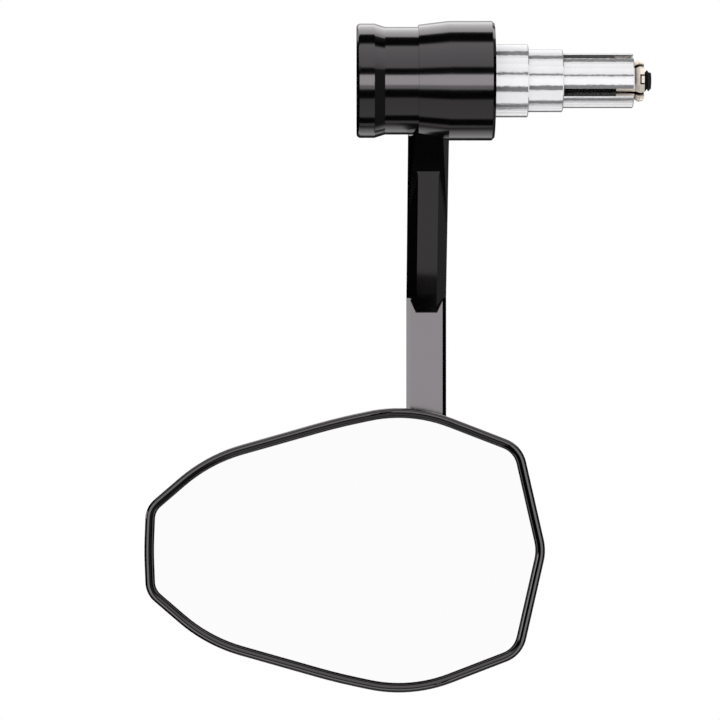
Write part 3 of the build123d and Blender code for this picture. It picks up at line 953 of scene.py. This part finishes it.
    def fill_ramp(self, ramp: bpy.types.ColorRamp) -> None:
        """Writes the panels into a ramp: brightness as red and reach as green.

        Args:
            ramp: Ramp that runs once round the bar axis.
        """
        while len(ramp.elements) > 1:
            ramp.elements.remove(ramp.elements[-1])
        for number, panel in enumerate(self.panels):
            place = (panel.angle + 180) / 360
            stop = ramp.elements[0] if number == 0 else ramp.elements.new(place)
            stop.position = place
            stop.color = (panel.level / self.brightest, panel.reach, 0, 1)

    def build_world(self) -> None:
        """Builds the softboxes as a sky of panels round the bar axis.

        The camera sees plain white, scattered light is even, and reflections show the panels:
        a strip in front, a wide one above it, a dim one below, and one overhead and one underneath
        behind the piece, with dark gaps between them.
        """
        world = bpy.data.worlds.new("studio")
        bpy.context.scene.world = world
        world.use_nodes = True
        tree = world.node_tree
        tree.nodes.clear()
        path = add(tree, "ShaderNodeLightPath").outputs
        scattered = add(tree, "ShaderNodeMix", {
            "Factor": path["Is Diffuse Ray"], "A": self.panel_light(tree), "B": self.ambient,
        }).outputs["Result"]
        seen = add(tree, "ShaderNodeMath", {
            0: path["Is Camera Ray"], 1: path["Is Transmission Ray"],
        }, operation="MAXIMUM").outputs[0]
        level = add(tree, "ShaderNodeMix", {
            "Factor": seen, "A": scattered, "B": 1.0,
        }).outputs["Result"]
        sky = add(tree, "ShaderNodeBackground", {"Color": (1, 1, 1, 1), "Strength": level})
        add(tree, "ShaderNodeOutputWorld", {"Surface": sky.outputs[0]})

    def build_floor(self) -> None:
        """Lays a round pale floor below the piece, out of the camera's frame."""
        low = CAD_BOX[0]
        angle = np.linspace(0, 2 * math.pi, self.floor_sides, endpoint=False)
        ring = np.stack([np.cos(angle), np.sin(angle), np.zeros_like(angle)], axis=-1)
        points = ring * self.floor_r + [0, 0, low.z - self.floor_drop]
        mesh = bpy.data.meshes.new("floor")
        mesh.from_pydata(points.tolist(), [], [list(range(self.floor_sides))])
        floor = bpy.data.objects.new("floor", mesh)
        bpy.context.scene.collection.objects.link(floor)
        floor.visible_glossy = False
        floor.visible_shadow = False
        mesh.materials.append(Finish("floor_matt_white", "#EEEEEE", 0.9).material())

    def build_lamp(self, lamp: Lamp) -> None:
        """Hangs a softbox that faces the piece.

        Args:
            lamp: What to hang and where.
        """
        light = bpy.data.lights.new(lamp.name, "AREA")
        light.shape = "RECTANGLE"
        light.size, light.size_y = lamp.size
        light.energy = lamp.watts
        hung = bpy.data.objects.new(lamp.name, light)
        hung.location = lamp.at
        facing = Vector(self.aim) - hung.location
        hung.rotation_euler = facing.to_track_quat("-Z", "Y").to_euler()
        hung.visible_camera = False
        hung.visible_glossy = lamp.mirrored
        bpy.context.scene.collection.objects.link(hung)
        if lamp.pieces:
            group = bpy.data.collections.new(lamp.name)
            for piece in lamp.pieces:
                group.objects.link(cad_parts.get(piece) or bpy.data.objects[piece])
            hung.light_linking.receiver_collection = group

    def build_camera(self) -> None:
        """Sets the camera level in front of the mirror, with the photograph's long lens."""
        lens = bpy.data.cameras.new("camera")
        lens.sensor_fit = "HORIZONTAL"
        lens.sensor_width = self.sensor_mm
        lens.lens = self.lens_px / self.frame_px * self.sensor_mm
        camera = bpy.data.objects.new("camera", lens)
        camera.location = [place * MM for place in self.eye_mm]
        camera.rotation_euler = (math.radians(90), 0, 0)
        bpy.context.scene.collection.objects.link(camera)
        bpy.context.scene.camera = camera

    def build(self) -> None:
        """Builds the whole studio."""
        bpy.context.scene.view_settings.view_transform = "Standard"
        self.build_world()
        self.build_floor()
        for lamp in self.lamps:
            self.build_lamp(lamp)
        self.build_camera()


def main() -> None:
    """Builds the pieces in order, then the studio."""
    logging.basicConfig(level=logging.INFO)
    dresser = Dresser()
    clamp = BarClamp(dresser)
    clamp.dress()
    clamp.build_screw()
    arm = MirrorArm(dresser)
    arm.dress()
    arm.build_stud()
    arm.build_nut()
    MirrorHead(dresser).dress()
    Studio().build()


if __name__ == "__main__":
    main()
